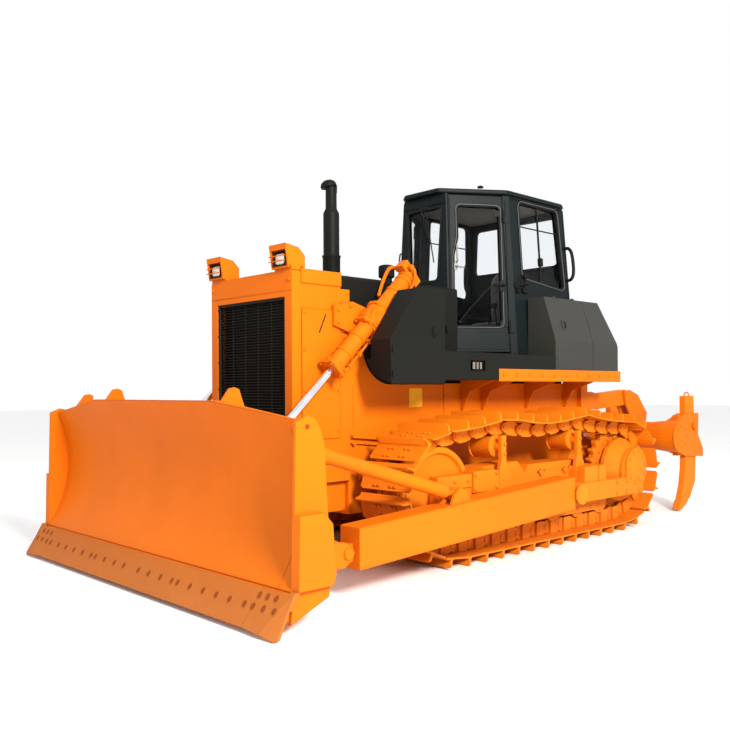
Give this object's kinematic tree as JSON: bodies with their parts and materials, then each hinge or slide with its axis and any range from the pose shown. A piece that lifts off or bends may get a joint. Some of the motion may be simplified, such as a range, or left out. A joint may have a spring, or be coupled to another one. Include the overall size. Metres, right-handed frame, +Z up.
{
  "type": "bulldozer",
  "caption": "Tracked bulldozer with a straight blade on push arms, lift cylinders, hexagonal glazed cab and a multi-shank rear ripper.",
  "frame": {"origin": "on the ground under the middle of the overall length and width, at the tips of the track grousers", "axes": "+Z up, the blade faces -Y, +X is the left side of the machine"},
  "size_m": [3.725, 6.9188, 3.39],
  "materials": {
    "orange_paint": "semi-gloss",
    "track_steel": "matt",
    "edge_steel": "matt",
    "dark_paint": "satin",
    "iron": "matt",
    "chrome_rod": "polished",
    "glass": "tinted",
    "lamp": "gloss",
    "seat_cover": "woven"
  },
  "bodies": {
    "chassis": {"main_frame": "orange_paint", "engine": "iron", "radiator_guard": "orange_paint", "grille": "iron", "radiator": "iron", "front_crossmember": "orange_paint", "hood": "dark_paint", "lamp_hoods": "dark_paint", "headlamps": "lamp", "exhaust": "dark_paint", "front_lockers": "dark_paint", "platforms": "dark_paint", "fenders": "orange_paint", "side_lockers": "dark_paint", "fuel_tank": "dark_paint", "cab_front": "dark_paint", "cab_sides": "dark_paint", "cab_rear": "dark_paint", "cab_roof": "orange_paint", "cab_floor": "orange_paint", "cab_glass": "glass", "seat": "seat_cover", "console": "dark_paint", "roller_frames": "orange_paint", "idlers": "orange_paint", "sprockets": "orange_paint", "final_drives": "orange_paint", "rollers": "orange_paint", "track_left": "track_steel", "track_right": "track_steel", "lift_brackets": "orange_paint", "ripper_brackets": "orange_paint"},
    "door_left": {"door_left": "dark_paint", "door_glass_left": "glass"},
    "door_right": {"door_right": "dark_paint", "door_glass_right": "glass"},
    "blade_frame": {"blade": "orange_paint", "cutting_edges": "edge_steel", "end_bits": "edge_steel", "push_arms": "orange_paint", "brace": "orange_paint", "tilt_cylinder": "orange_paint"},
    "lift_barrel_left": {"lift_barrel_left": "orange_paint"},
    "lift_barrel_right": {"lift_barrel_right": "orange_paint"},
    "lift_rod_left": {"lift_rod_left": "chrome_rod"},
    "lift_rod_right": {"lift_rod_right": "chrome_rod"},
    "ripper_frame": {"ripper_frame": "orange_paint"},
    "ripper_links": {"ripper_links": "orange_paint"},
    "ripper_beam": {"ripper_beam": "orange_paint", "shanks": "edge_steel"},
    "ripper_barrels": {"ripper_barrels": "orange_paint"},
    "ripper_rods": {"ripper_rods": "chrome_rod"}
  },
  "joints": [
    {"name": "door_left_hinge", "type": "hinge", "parent": "chassis", "child": "door_left", "pos_m": [0.69498, 0.20795, 1.78], "axis": [-0.0644, -0.0039, 0.9979], "range_deg": [0, 115]},
    {"name": "door_right_hinge", "type": "hinge", "parent": "chassis", "child": "door_right", "pos_m": [-0.69498, 0.20795, 1.78], "axis": [-0.0644, 0.0039, -0.9979], "range_deg": [0, 115]},
    {"name": "blade_lift", "type": "hinge", "parent": "chassis", "child": "blade_frame", "pos_m": [0, 0.11438, 0.498], "axis": [-1, 0, 0], "range_deg": [-8.7, 19.1]},
    {"name": "lift_barrel_left_swing", "type": "hinge", "parent": "chassis", "child": "lift_barrel_left", "pos_m": [0.7, -1.60962, 2.014], "axis": [-1, 0, 0], "range_deg": [-11.4, 24.9]},
    {"name": "lift_rod_left_slide", "type": "slide", "parent": "lift_barrel_left", "child": "lift_rod_left", "axis": [0, -0.7272, -0.6864], "range_m": [-0.717, 0.327]},
    {"name": "lift_barrel_right_swing", "type": "hinge", "parent": "chassis", "child": "lift_barrel_right", "pos_m": [-0.7, -1.60962, 2.014], "axis": [-1, 0, 0], "range_deg": [-11.4, 24.9]},
    {"name": "lift_rod_right_slide", "type": "slide", "parent": "lift_barrel_right", "child": "lift_rod_right", "axis": [0, -0.7272, -0.6864], "range_m": [-0.717, 0.327]},
    {"name": "ripper_lift", "type": "hinge", "parent": "chassis", "child": "ripper_frame", "pos_m": [0, 1.85338, 0.69], "axis": [1, 0, 0], "range_deg": [-36, 38]},
    {"name": "ripper_beam_level", "type": "hinge", "parent": "ripper_frame", "child": "ripper_beam", "pos_m": [0, 2.47038, 0.733], "axis": [1, 0, 0], "range_deg": [-38, 36]},
    {"name": "ripper_link_swing", "type": "hinge", "parent": "chassis", "child": "ripper_links", "pos_m": [0, 1.83438, 1.29], "axis": [1, 0, 0], "range_deg": [-36, 38]},
    {"name": "ripper_barrel_swing", "type": "hinge", "parent": "chassis", "child": "ripper_barrels", "pos_m": [0, 1.70338, 1.34], "axis": [1, 0, 0], "range_deg": [-13.8, 14.6]},
    {"name": "ripper_rod_slide", "type": "slide", "parent": "ripper_barrels", "child": "ripper_rods", "axis": [0, 0.7136, -0.7006], "range_m": [-0.203, 0.192]}
  ],
  "couplings": [
    {"joint": "lift_barrel_left_swing", "follows": "blade_lift", "ratio": 1.3},
    {"joint": "lift_rod_left_slide", "follows": "blade_lift", "m_per_rad": -2.1486},
    {"joint": "lift_barrel_right_swing", "follows": "blade_lift", "ratio": 1.3},
    {"joint": "lift_rod_right_slide", "follows": "blade_lift", "m_per_rad": -2.1486},
    {"joint": "ripper_beam_level", "follows": "ripper_lift", "ratio": -1},
    {"joint": "ripper_link_swing", "follows": "ripper_lift", "ratio": 1},
    {"joint": "ripper_barrel_swing", "follows": "ripper_lift", "ratio": 0.38},
    {"joint": "ripper_rod_slide", "follows": "ripper_lift", "m_per_rad": -0.3037}
  ]
}
